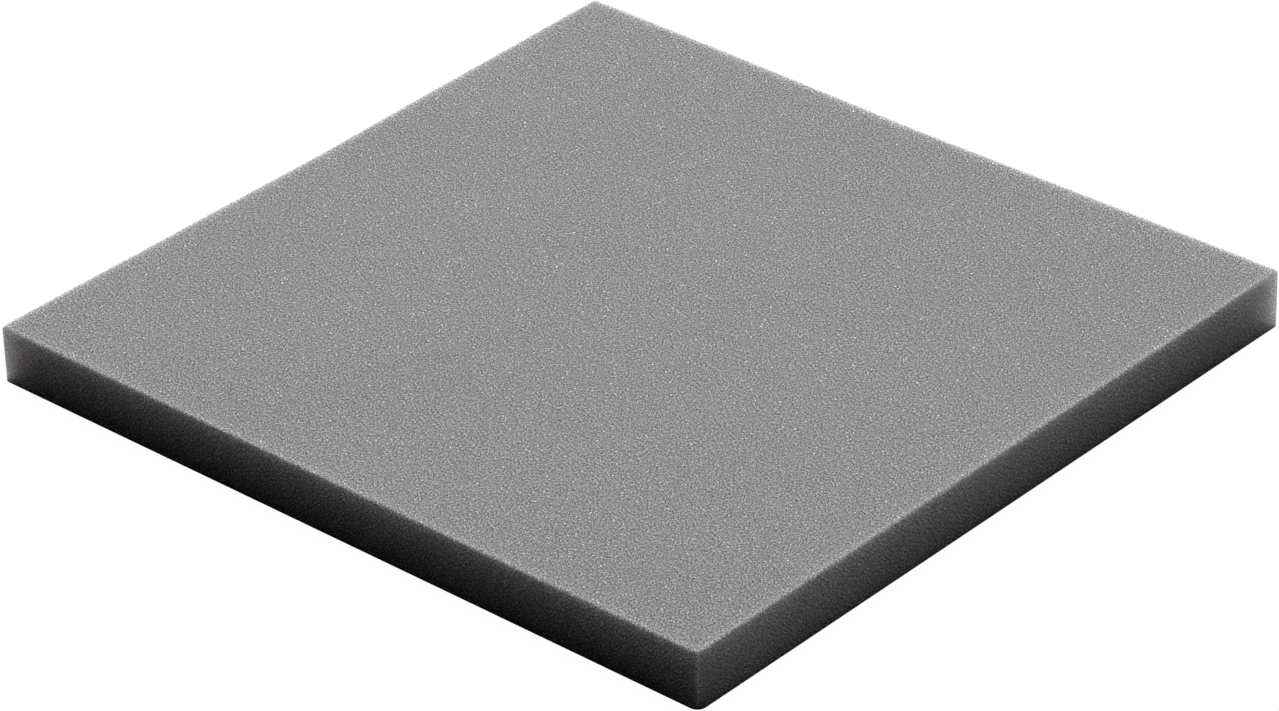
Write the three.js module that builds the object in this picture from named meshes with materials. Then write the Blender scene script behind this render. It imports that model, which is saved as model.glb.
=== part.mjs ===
// A protector pad: one flat slab of soft grey polyurethane foam, cut almost square from a block.
// Millimetres, +Z up. It lies on its lower face, and the origin is the middle of that face.
// +X runs along the longer side and +Y along the shorter one.

import * as THREE from "three";

// Driving dimensions
const LENGTH = 300;
const WIDTH = 290;
const THICKNESS = 21;

// The blade leaves the edges almost sharp, and the soft foam rounds them a little.
const CORNER_RADIUS = 2; // the four upright edges, seen from above
const EDGE_RADIUS = 0.8; // the edges round the upper and the lower face

// How finely the round stretches are divided
const CORNER_STEPS = 6;
const EDGE_STEPS = 3;

// The cut foam: a neutral mid grey that scatters light and has no gloss
const FOAM_COLOUR = 0x959394;
const FOAM_ROUGHNESS = 1;
const FOAM_METALNESS = 0;

const QUARTER_TURN = Math.PI / 2;

function foamMaterial() {
  return new THREE.MeshStandardMaterial({
    color: FOAM_COLOUR,
    roughness: FOAM_ROUGHNESS,
    metalness: FOAM_METALNESS,
  });
}

// The slab's outline from above, a rectangle with rounded corners, drawn anticlockwise.
function slabOutline(length, width, radius) {
  const corners = [
    { x: length / 2 - radius, y: radius - width / 2, start: -QUARTER_TURN },
    { x: length / 2 - radius, y: width / 2 - radius, start: 0 },
    { x: radius - length / 2, y: width / 2 - radius, start: QUARTER_TURN },
    { x: radius - length / 2, y: radius - width / 2, start: 2 * QUARTER_TURN },
  ];
  const points = [];
  for (const corner of corners) {
    for (let step = 0; step <= CORNER_STEPS; step += 1) {
      const angle = corner.start + (QUARTER_TURN * step) / CORNER_STEPS;
      const x = corner.x + radius * Math.cos(angle);
      const y = corner.y + radius * Math.sin(angle);
      points.push(new THREE.Vector2(x, y));
    }
  }
  return new THREE.Shape(points);
}

// The outline is drawn at the slab's full size, so the rounded edges are taken off inside it.
function foamSlab() {
  const outline = slabOutline(LENGTH, WIDTH, CORNER_RADIUS);
  const geometry = new THREE.ExtrudeGeometry(outline, {
    depth: THICKNESS - 2 * EDGE_RADIUS,
    bevelEnabled: true,
    bevelThickness: EDGE_RADIUS,
    bevelSize: EDGE_RADIUS,
    bevelOffset: -EDGE_RADIUS,
    bevelSegments: EDGE_STEPS,
  });
  const slab = new THREE.Mesh(geometry, foamMaterial());
  slab.name = "foam_slab";
  slab.position.z = EDGE_RADIUS; // the extrusion's lower rounding starts below its zero
  return slab;
}

const protector = new THREE.Group();
protector.add(foamSlab());

export default protector;
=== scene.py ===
"""A foam protector pad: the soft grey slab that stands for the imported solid, on a pale studio floor.

Metres, +Z up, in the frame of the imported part. The slab's mesh is a lattice over its upper face, rows of
the same columns down its four sides, and a coarser lattice underneath. Nothing in it is random: every
unevenness is a noise of the place.
"""

import math

import bpy
import numpy as np
from mathutils import Matrix, Vector, noise


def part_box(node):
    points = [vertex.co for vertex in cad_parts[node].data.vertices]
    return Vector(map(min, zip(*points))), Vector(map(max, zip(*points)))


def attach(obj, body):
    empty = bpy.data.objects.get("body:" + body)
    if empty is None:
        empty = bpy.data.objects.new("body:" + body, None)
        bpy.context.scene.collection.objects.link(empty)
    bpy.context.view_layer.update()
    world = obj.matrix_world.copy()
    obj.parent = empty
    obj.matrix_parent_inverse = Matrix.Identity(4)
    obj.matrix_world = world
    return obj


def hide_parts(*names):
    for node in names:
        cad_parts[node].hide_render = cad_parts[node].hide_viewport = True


MM = 0.001

# The foam's shape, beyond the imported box
EDGE_RADIUS = 0.8 * MM  # the edges round the upper and the lower face
CORNER_RADIUS = 1.3 * MM  # the upright edges, seen from above
WORN_CORNER_RADIUS = 3.7 * MM  # the upright edge at +X, -Y, where it meets the floor
WORN_HEIGHT = 7.0 * MM  # how far up that wear reaches
WEAR_POWER = 1.5  # how fast it fades on the way up
BOW = 1.65 * MM  # how far the -X and the +Y side bend in, halfway along
BOW_POWER = 1.6  # how fast that fades towards the corners
BOW_SOFTNESS = 0.08  # how round the bow is halfway along, as a share of half the side
BOW_REACH = 45 * MM  # how far into the slab the bow fades out
PLUMP = 0.6 * MM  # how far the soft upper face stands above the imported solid
THIN_CORNER = 0.5 * MM  # how much lower it is at the -X, -Y corner
WAVE = 0.25 * MM  # slow unevenness of the cut faces
WAVE_LENGTH = 70 * MM
WAVE_START = Vector((3, 7, 1))
WAVE_MIDDLE = 0.2
GRAIN_RELIEF = 0.035 * MM  # fine unevenness: clumps of open cells
GRAIN_LENGTHS = (2.6 * MM, 6.0 * MM)
SETTLED = 3.0 * MM  # below this height the unevenness fades, down to the flat lower face

# The lattice's steps: closest together along the edges
EDGE_STEP = 0.45 * MM
MIDDLE_STEP = 1.3 * MM
STEP_GROWTH = 1.22
ROUNDING_STEPS = 3
SIDE_STEP = 1.5 * MM

# Painted rim light: how much paler the rims are painted, where light shines through frayed struts, and how
# far in that reaches
PAINTED_RIM_LIGHT = (0.7, 0.5, 0.5, 0.7)  # along -X, +X, -Y and +Y
PAINTED_RIM_LIGHT_REACH = 1.3 * MM
PAINTED_UPRIGHT_LIGHT = ((2.6, 0.2), (1.3, 2.6))  # for -X and +X, each at -Y and at +Y
PAINTED_UPRIGHT_LIGHT_REACH = 0.8 * MM

# The foam's cells and colour. A tone is a factor on FOAM_GREY.
FOAM_GREY = (0.374, 0.363, 0.370)
CELL = 0.56 * MM
CELL_WALL = (0.1, 0.7)  # where a cell's wall starts and is full, from its middle, in cells
CELL_TONES = (0.78, 1.1)  # in the middle of a cell and at its wall
STRUT = 0.26 * MM
STRUT_POWER = 4.0  # the higher, the fewer struts catch the light
STRUT_CONTRAST = 2.1
DARKEST_STRUT = 0.1
SHADE_GAPS = (  # which ways a lit strut shades its neighbours, and how far off they are
    (0.75 * MM, 0, 0),
    (0, 0.75 * MM, 0),
    (0, 0, 0.75 * MM),
    (-0.8 * MM, 0.8 * MM, 0),
)
CLUMP = 1.3 * MM
CLUMP_TONES = (0.96, 1.04)
CLOUD = 45 * MM
CLOUD_TONES = (0.985, 1.015)
SPECK_SPACING = 1.75 * MM
SPECK_RADIUS = 0.25 * MM
TORN_SHARE = 0.3  # the share of the specks that are torn cells
TORN_PAINTED_SHADE = -0.9  # painted shade in a torn cell's hole: what the darkest of them adds to the tone, which starts at 1
SKIN_SHARE = 0.35  # the share of the specks that are whole skins
# painted glint: how much paler the colour of a whole, shining skin is made
SKIN_PAINTED_GLINT = 6.0
BUMP_HEIGHT = 0.12 * MM
BUMP_STRENGTH = 0.6
CLUMP_BUMP = 0.6  # how much the clumps add to the bump, where a cell's wall adds 1
ROUGHNESS = 0.95
SKIN_ROUGHNESS = 0.45  # of the whole skins that shine most

# How light gets through the foam: scales of the scattering; the light itself gets about a tenth as far
SCATTERED = 0.55
SHALLOW = 10 * MM
DEEP = 85 * MM
DEEP_SHARE = 0.56  # of the light at the sides
DEEP_FADE = (0.3, 0.9)  # how far upwards a face looks where that share starts to fall and is gone

# The camera, on the near corner's side
AZIMUTH = 42.24
ELEVATION = 31.25
ROLL = -1.56
DISTANCE = 2.047
SLIDE_RIGHT = 1.23 * MM
SLIDE_UP = 0.46 * MM
LENS = 175.9
SENSOR = 36.0

# The studio
FLOOR_SIZE = 12.0
FLOOR_GAP = 0.05 * MM  # between the slab and the floor
FLOOR_GLOW = 0.985  # what the camera sees of it
BOUNCE = (0.02, 0.33)  # how much light it throws back at the foam, on the left and on the right
BOUNCE_CHANGE = 0.03  # how far right of the middle the change from one to the other ends
WORLD_DIM = 0.01  # how much light comes from all round
KEY_ELEVATION = 72  # the key light stands beyond the slab, opposite to the camera
KEY_DISTANCE = 6.0
KEY_SIZE = 2.6
KEY_POWER = 243
BACK_TURN = 145  # how far round from the camera the two back lights stand
BACK_ELEVATION = 5
BACK_DISTANCE = 4.0
BACK_SIZE = 0.7
LEFT_BACK_POWER = 100
RIGHT_BACK_POWER = 120


# ---------------------------------------------------------------- the slab's mesh


def graded(half):
    """Places from -half to half, EDGE_STEP apart at both ends and MIDDLE_STEP apart in the middle."""
    steps = []
    step = EDGE_STEP
    while sum(steps) < half:
        steps.append(step)
        step = min(step * STEP_GROWTH, MIDDLE_STEP)
    from_edge = np.concatenate(([0.0], np.cumsum(steps)))
    from_edge *= half / from_edge[-1]
    left = from_edge - half
    return np.concatenate((left, -left[-2::-1]))


def side_rows(thickness):
    """(inset, height) of each row down a side, from the upper face's rim to the lower face's rim."""
    turns = [math.pi / 2 * k / ROUNDING_STEPS for k in range(ROUNDING_STEPS + 1)]
    upper = [
        (
            EDGE_RADIUS * (1 - math.sin(t)),
            thickness - EDGE_RADIUS * (1 - math.cos(t)),
        )
        for t in turns
    ]
    straight = thickness - 2 * EDGE_RADIUS
    steps = []
    step = EDGE_STEP
    while sum(steps) < straight:
        steps.append(step)
        step = min(step * STEP_GROWTH, SIDE_STEP)
    down = np.cumsum(steps) * straight / sum(steps)
    middle = [(0.0, thickness - EDGE_RADIUS - d) for d in down[:-1]]
    lower = [(inset, thickness - height) for inset, height in reversed(upper)]
    return upper + middle + lower


def corner_radii(x, y, height):
    """The outline's corner radius at each point: larger low down at the worn corner."""
    radii = np.full(x.shape, CORNER_RADIUS)
    worn = (x > 0) & (y < 0)
    low = max(0.0, 1 - height / WORN_HEIGHT)
    radii[worn] += (WORN_CORNER_RADIUS - CORNER_RADIUS) * low**WEAR_POWER
    return radii


def in_outline(x, y, half_x, half_y, inset, height):
    """Points of the plain rectangle, moved in by inset and drawn round at its corners."""
    x = x * (half_x - inset) / half_x
    y = y * (half_y - inset) / half_y
    radii = np.maximum(corner_radii(x, y, height) - inset, EDGE_RADIUS / 2)
    past_x = np.abs(x) - (half_x - inset - radii)
    past_y = np.abs(y) - (half_y - inset - radii)
    at_corner = (past_x > 0) & (past_y > 0)
    longest = np.maximum(past_x, past_y)
    shrink = np.where(at_corner, longest / np.hypot(past_x, past_y), 1.0)
    shorter_x = np.where(at_corner, past_x * (1 - shrink), 0.0)
    shorter_y = np.where(at_corner, past_y * (1 - shrink), 0.0)
    return x - np.sign(x) * shorter_x, y - np.sign(y) * shorter_y


def rim_indices(nx, ny):
    """(i, j) of a lattice's rim, anticlockwise from its lowest corner."""
    front = [(i, 0) for i in range(nx)]
    right = [(nx, j) for j in range(ny)]
    back = [(i, ny) for i in range(nx, 0, -1)]
    left = [(0, j) for j in range(ny, 0, -1)]
    return front + right + back + left


def slab_lattice(low, high):
    """The slab's points, its faces, and how much painted rim light each point gets."""
    half_x = (high.x - low.x) / 2
    half_y = (high.y - low.y) / 2
    thickness = high.z - low.z
    xs, ys = graded(half_x), graded(half_y)
    nx, ny = len(xs) - 1, len(ys) - 1
    rows = side_rows(thickness)
    points, painted_rim_light, faces = [], [], []
    rims = np.array((*PAINTED_RIM_LIGHT, 0.0))  # in the order of the gaps below; nothing away from the rims
    uprights = np.array(PAINTED_UPRIGHT_LIGHT)

    def add(x, y, inset, height):
        """Adds points of the plain rectangle at one height and gives the first one's index."""
        start = sum(len(p) for p in points)
        px, py = in_outline(x, y, half_x, half_y, inset, height)
        points.append(np.stack((px, py, np.full(px.shape, low.z + height)), axis=-1))

        # The two faces of the slab that are nearest to a point decide which rim it is at
        level = np.full(x.shape, height)
        gaps = (half_x + x, half_x - x, half_y + y, half_y - y, level, thickness - level)
        nearest = np.argsort(gaps, axis=0, kind="stable")
        at_upright = np.maximum(nearest[0], nearest[1]) < 4
        upright = uprights[(x > 0).astype(int), (y > 0).astype(int)]
        # Painted rim light: how much paler the colour is painted at this point, set by the rim or upright
        # it is nearest to
        amount = np.where(at_upright, upright, rims[np.minimum(nearest[0], nearest[1])])
        reach = np.where(at_upright, PAINTED_UPRIGHT_LIGHT_REACH, PAINTED_RIM_LIGHT_REACH)
        painted_rim_light.append(amount * np.exp(-np.sort(gaps, axis=0)[1] / reach))
        return start

    def add_lattice(x_places, y_places, inset, height):
        x, y = np.meshgrid(x_places, y_places, indexing="ij")
        return add(x.ravel(), y.ravel(), inset, height)

    # The upper face
    add_lattice(xs, ys, *rows[0])
    for i in range(nx):
        for j in range(ny):
            a = i * (ny + 1) + j
            faces.append((a, a + ny + 1, a + ny + 2, a + 1))

    # The sides
    rim = rim_indices(nx, ny)
    rim_x = np.array([xs[i] for i, _ in rim])
    rim_y = np.array([ys[j] for _, j in rim])
    above = [i * (ny + 1) + j for i, j in rim]
    count = len(rim)
    for inset, height in rows[1:-1]:
        start = add(rim_x, rim_y, inset, height)
        below = list(range(start, start + count))
        for k in range(count):
            n = (k + 1) % count
            faces.append((above[k], below[k], below[n], above[n]))
        above = below

    # The lower face has every second place of the upper one
    start = add_lattice(xs[::2], ys[::2], *rows[-1])
    wide = ny // 2 + 1
    for i in range(nx // 2):
        for j in range(ny // 2):
            a = start + i * wide + j
            faces.append((a, a + 1, a + wide + 1, a + wide))
    below = [start + i * wide + j for i, j in rim_indices(nx // 2, ny // 2)]
    for k, b in enumerate(below):
        next_b = below[(k + 1) % len(below)]
        a, middle, c = above[2 * k], above[2 * k + 1], above[(2 * k + 2) % count]
        faces.append((a, b, middle))
        faces.append((middle, b, next_b))
        faces.append((middle, next_b, c))
    return np.concatenate(points), faces, np.concatenate(painted_rim_light)


def smooth(t):
    """0 to 1 with level ends."""
    t = np.clip(t, 0.0, 1.0)
    return t * t * (3 - 2 * t)


def bend(t):
    """1 halfway along a side, where t is 0, and 0 at its ends, where t is -1 or 1."""
    furthest = math.hypot(1, BOW_SOFTNESS) - BOW_SOFTNESS
    away = (np.hypot(t, BOW_SOFTNESS) - BOW_SOFTNESS) / furthest
    return (1 - np.clip(away, 0.0, 1.0)) ** BOW_POWER


def hand_cut(points, low, high):
    """The slab as it was cut and has settled: two sides bow in, and one corner is thinner."""
    half_x = (high.x - low.x) / 2
    half_y = (high.y - low.y) / 2
    x, y, z = points.T.copy()
    near_low_x = smooth(1 - (x + half_x) / BOW_REACH)
    near_high_y = smooth(1 - (half_y - y) / BOW_REACH)
    bowed_x = x + BOW * near_low_x * bend(y / half_y)
    bowed_y = y - BOW * near_high_y * bend(x / half_x)
    towards_corner = (1 - x / half_x) * (1 - y / half_y) / 4
    height = (z - low.z) / (high.z - low.z)
    raised = z + (PLUMP - THIN_CORNER * towards_corner) * height
    return np.stack((bowed_x, bowed_y, raised), axis=-1)


def roughen(obj, low):
    """Moves the points of the cut faces in and out along their normals; the lower face stays flat."""
    mesh = obj.data
    waves = []
    for vertex in mesh.vertices:
        place = vertex.co
        slow = WAVE * (noise.noise(place / WAVE_LENGTH + WAVE_START) - WAVE_MIDDLE)
        fine = sum(
            GRAIN_RELIEF * noise.noise(place / length + Vector((k, 0, 0)))
            for k, length in enumerate(GRAIN_LENGTHS)
        )
        above_floor = min(1.0, (place.z - low.z) / SETTLED)
        waves.append((slow * above_floor + fine * above_floor) * vertex.normal)
    for vertex, wave in zip(mesh.vertices, waves):
        vertex.co += wave
    mesh.update()


def foam_slab(low, high):
    points, faces, painted_rim_light = slab_lattice(low, high)
    mesh = bpy.data.meshes.new("foam_pad")
    mesh.from_pydata(hand_cut(points, low, high).tolist(), [], faces)
    mesh.validate()
    mesh.shade_smooth()
    # The painted rim light, kept on the points for the foam's colour
    attribute = mesh.attributes.new("painted_rim_light", "FLOAT", "POINT")
    attribute.data.foreach_set("value", painted_rim_light.astype(np.float32))
    slab = bpy.data.objects.new("foam_pad", mesh)
    bpy.context.scene.collection.objects.link(slab)
    roughen(slab, low)
    return slab


# ---------------------------------------------------------------- the foam's material


class Graph:
    """A short way to add and join a material's nodes."""

    def __init__(self, tree):
        self.tree = tree
        tree.nodes.clear()

    def add(self, kind, inputs=None, **settings):
        node = self.tree.nodes.new(kind)
        for key, value in settings.items():
            setattr(node, key, value)
        for key, value in (inputs or {}).items():
            if isinstance(value, bpy.types.NodeSocket):
                self.tree.links.new(value, node.inputs[key])
            else:
                node.inputs[key].default_value = value
        return node

    def maths(self, operation, a, b=0.0, c=0.0):
        return self.add("ShaderNodeMath", {0: a, 1: b, 2: c}, operation=operation).outputs[0]

    def noise(self, place, size, detail):
        settings = {"Vector": place, "Scale": 1 / size, "Detail": detail}
        return self.add("ShaderNodeTexNoise", settings).outputs["Fac"]

    def lit_struts(self, place):
        """Near 0 for most struts, and up to 1 for the few that catch the light."""
        struts = self.add("ShaderNodeTexVoronoi", {"Vector": place, "Scale": 1 / STRUT})
        return self.maths("POWER", self.part(struts, "Red"), STRUT_POWER)

    def part(self, cells, channel):
        """One of the three random numbers that each cell of a Voronoi texture has for its colour."""
        return self.add("ShaderNodeSeparateColor", {"Color": cells.outputs["Color"]}).outputs[channel]

    def ramp(self, value, start, end, low=0.0, high=1.0, shape="LINEAR"):
        """low at start, high at end, and no further."""
        return self.add(
            "ShaderNodeMapRange",
            {"Value": value, 1: start, 2: end, 3: low, 4: high},
            interpolation_type=shape,
        ).outputs[0]


def foam_material():
    material = bpy.data.materials.new("open_cell_foam")
    material.use_nodes = True
    g = Graph(material.node_tree)
    place = g.add("ShaderNodeTexCoord").outputs["Object"]

    # The open cells are dark in the middle and paler along their walls
    cells = g.add("ShaderNodeTexVoronoi", {"Vector": place, "Scale": 1 / CELL})
    clumps = g.noise(place, CLUMP, 2.0)
    clouds = g.noise(place, CLOUD, 1.0)
    wall = g.ramp(cells.outputs["Distance"], *CELL_WALL)

    # A strut that catches the light shades the ones beside it
    catch = g.lit_struts(place)
    for gap in SHADE_GAPS:
        beside = g.add("ShaderNodeVectorMath", {0: place, 1: gap}, operation="ADD").outputs["Vector"]
        catch = g.maths("MULTIPLY_ADD", g.lit_struts(beside), -1 / len(SHADE_GAPS), catch)
    lit = g.maths("MULTIPLY_ADD", catch, STRUT_CONTRAST, 1.0)
    lit = g.maths("MAXIMUM", lit, DARKEST_STRUT)
    tone = g.maths("MULTIPLY", g.ramp(wall, 0.0, 1.0, *CELL_TONES), lit)
    tone = g.maths("MULTIPLY", tone, g.ramp(clumps, 0.25, 0.75, *CLUMP_TONES))
    tone = g.maths("MULTIPLY", tone, g.ramp(clouds, 0.3, 0.7, *CLOUD_TONES))

    # Here and there a cell's skin has stayed whole and shines, or a cell is torn open: the shine is a
    # painted glint in the colour, besides the skin's lower roughness, and the torn cell's hole is painted
    # dark as shade
    specks = g.add("ShaderNodeTexVoronoi", {"Vector": place, "Scale": 1 / SPECK_SPACING})
    radius = SPECK_RADIUS / SPECK_SPACING
    speck = g.ramp(specks.outputs["Distance"], 0.8 * radius, 1.2 * radius, 1.0, 0.0)
    kind = g.part(specks, "Red")
    painted_pit_shade = g.ramp(kind, 0.0, TORN_SHARE, TORN_PAINTED_SHADE, 0.0)
    painted_glint = g.ramp(kind, 1 - SKIN_SHARE, 1.0, 0.0, SKIN_PAINTED_GLINT)
    painted_glint_and_shade = g.maths("ADD", painted_pit_shade, painted_glint)
    tone = g.maths("MULTIPLY", tone, g.maths("MULTIPLY_ADD", speck, painted_glint_and_shade, 1.0))
    shine = g.maths("MULTIPLY", speck, g.ramp(kind, 0.7, 1.0))

    # Painted rim light: every rim's colour is made paler for the light that shines through its frayed,
    # see-through struts
    painted_rim_light = g.add("ShaderNodeAttribute", attribute_name="painted_rim_light").outputs["Fac"]
    tone = g.maths("MULTIPLY", tone, g.maths("ADD", painted_rim_light, 1.0))

    colour = g.add(
        "ShaderNodeVectorMath", {0: FOAM_GREY, "Scale": tone}, operation="SCALE"
    ).outputs["Vector"]

    height = g.maths("MULTIPLY_ADD", clumps, CLUMP_BUMP, wall)
    bump = g.add(
        "ShaderNodeBump",
        {"Height": height, "Strength": BUMP_STRENGTH, "Distance": BUMP_HEIGHT},
    ).outputs["Normal"]
    roughness = g.ramp(shine, 0.0, 1.0, ROUGHNESS, SKIN_ROUGHNESS)

    # Light that enters the struts comes back out soon. Through the open cells of the cut sides it
    # goes deep, so every point of a side takes one way or the other.
    faces = g.add("ShaderNodeTexCoord").outputs["Normal"]
    upwards = g.add("ShaderNodeSeparateXYZ", {"Vector": faces}).outputs["Z"]
    either = g.add("ShaderNodeTexWhiteNoise", {"Vector": place}).outputs["Value"]
    deep = g.maths("LESS_THAN", either, g.ramp(upwards, *DEEP_FADE, DEEP_SHARE, 0.0))
    reach = g.ramp(deep, 0.0, 1.0, SHALLOW, DEEP)

    foam = g.add(
        "ShaderNodeBsdfPrincipled",
        {
            "Base Color": colour,
            "Roughness": roughness,
            "Normal": bump,
            "Subsurface Weight": SCATTERED,
            "Subsurface Radius": (1.0, 0.95, 0.93),
            "Subsurface Scale": reach,
            "Specular IOR Level": 0.25,
            "Sheen Weight": 0.10,
            "Sheen Roughness": 0.6,
        },
    )
    g.add("ShaderNodeOutputMaterial", {"Surface": foam.outputs["BSDF"]})
    return material


# ---------------------------------------------------------------- floor, lights and camera


def floor_material():
    """White to the eye. It throws little light back at the foam on the left, and more on the right."""
    material = bpy.data.materials.new("studio_floor")
    material.use_nodes = True
    g = Graph(material.node_tree)
    seen = g.add("ShaderNodeLightPath").outputs["Is Camera Ray"]
    glow = g.add("ShaderNodeEmission", {"Color": (1, 1, 1, 1), "Strength": FLOOR_GLOW})
    matt = g.add("ShaderNodeBsdfDiffuse", {"Color": (0.05, 0.05, 0.05, 1)})
    place = g.add("ShaderNodeTexCoord").outputs["Object"]
    to_right = direction(AZIMUTH + 90, 0)
    aside = g.add("ShaderNodeVectorMath", {0: place, 1: to_right}, operation="DOT_PRODUCT")
    shade = g.ramp(aside.outputs["Value"], 0.0, BOUNCE_CHANGE, *BOUNCE)
    bounce = g.add("ShaderNodeBsdfDiffuse", {"Color": shade})
    pale = g.add("ShaderNodeAddShader", {0: glow.outputs[0], 1: matt.outputs[0]})
    mixed = g.add("ShaderNodeMixShader", {0: seen, 1: bounce.outputs[0], 2: pale.outputs[0]})
    g.add("ShaderNodeOutputMaterial", {"Surface": mixed.outputs[0]})
    material.cycles.emission_sampling = "NONE"
    return material


def studio_floor(low):
    half = FLOOR_SIZE / 2
    z = low.z - FLOOR_GAP
    corners = [(-half, -half, z), (half, -half, z), (half, half, z), (-half, half, z)]
    mesh = bpy.data.meshes.new("studio_floor")
    mesh.from_pydata(corners, [], [(0, 1, 2, 3)])
    mesh.materials.append(floor_material())
    floor = bpy.data.objects.new("studio_floor", mesh)
    bpy.context.scene.collection.objects.link(floor)


def softbox(name, azimuth, elevation, distance, size, power):
    """A square area light aimed at the slab, placed as the camera is, by azimuth and elevation."""
    data = bpy.data.lights.new(name, "AREA")
    data.shape = "SQUARE"
    data.size = size
    data.energy = power
    light = bpy.data.objects.new(name, data)
    towards = direction(azimuth, elevation)
    light.location = towards * distance
    light.rotation_mode = "QUATERNION"
    light.rotation_quaternion = towards.to_track_quat("Z", "Y")
    light.visible_camera = False
    bpy.context.scene.collection.objects.link(light)


def direction(azimuth, elevation):
    """From the slab outwards: azimuth 0 is -Y, and 90 is +X."""
    a, e = math.radians(azimuth), math.radians(elevation)
    return Vector((math.sin(a) * math.cos(e), -math.cos(a) * math.cos(e), math.sin(e)))


def studio_lights():
    softbox("key_light", AZIMUTH + 180, KEY_ELEVATION, KEY_DISTANCE, KEY_SIZE, KEY_POWER)
    backs = (
        ("left_back_light", -BACK_TURN, LEFT_BACK_POWER),
        ("right_back_light", BACK_TURN, RIGHT_BACK_POWER),
    )
    for name, turn, power in backs:
        softbox(name, AZIMUTH + turn, BACK_ELEVATION, BACK_DISTANCE, BACK_SIZE, power)


def white_world():
    world = bpy.data.worlds.new("studio")
    world.use_nodes = True
    g = Graph(world.node_tree)
    seen = g.add("ShaderNodeLightPath").outputs["Is Camera Ray"]
    white = g.add("ShaderNodeBackground", {"Color": (1, 1, 1, 1), "Strength": 1.0})
    dim = g.add("ShaderNodeBackground", {"Color": (1, 1, 1, 1), "Strength": WORLD_DIM})
    mixed = g.add("ShaderNodeMixShader", {0: seen, 1: dim.outputs[0], 2: white.outputs[0]})
    g.add("ShaderNodeOutputWorld", {"Surface": mixed.outputs[0]})
    bpy.context.scene.world = world


def camera():
    back = direction(AZIMUTH, ELEVATION)
    right = Vector((-back.y, back.x, 0)).normalized()
    up = back.cross(right)
    turn = Matrix.Rotation(math.radians(ROLL), 3, back)
    right, up = turn @ right, turn @ up
    data = bpy.data.cameras.new("camera")
    data.lens = LENS
    data.sensor_width = SENSOR
    shot = bpy.data.objects.new("camera", data)
    axes = Matrix((right, up, back)).transposed().to_4x4()
    place = back * DISTANCE - right * SLIDE_RIGHT - up * SLIDE_UP
    shot.matrix_world = Matrix.Translation(place) @ axes
    bpy.context.scene.collection.objects.link(shot)
    bpy.context.scene.camera = shot


# ---------------------------------------------------------------- the scene

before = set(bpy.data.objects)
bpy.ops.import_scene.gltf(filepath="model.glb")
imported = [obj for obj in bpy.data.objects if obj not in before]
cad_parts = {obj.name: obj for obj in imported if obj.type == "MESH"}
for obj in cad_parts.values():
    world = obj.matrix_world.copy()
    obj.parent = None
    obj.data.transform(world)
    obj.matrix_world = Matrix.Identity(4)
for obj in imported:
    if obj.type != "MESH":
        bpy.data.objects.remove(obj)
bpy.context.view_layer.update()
camera()

slab_low, slab_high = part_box("foam_slab")
pad = foam_slab(slab_low, slab_high)
pad.data.materials.append(foam_material())
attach(pad, "root")
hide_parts("foam_slab")

studio_floor(slab_low)
studio_lights()
white_world()
bpy.context.scene.view_settings.view_transform = "Standard"
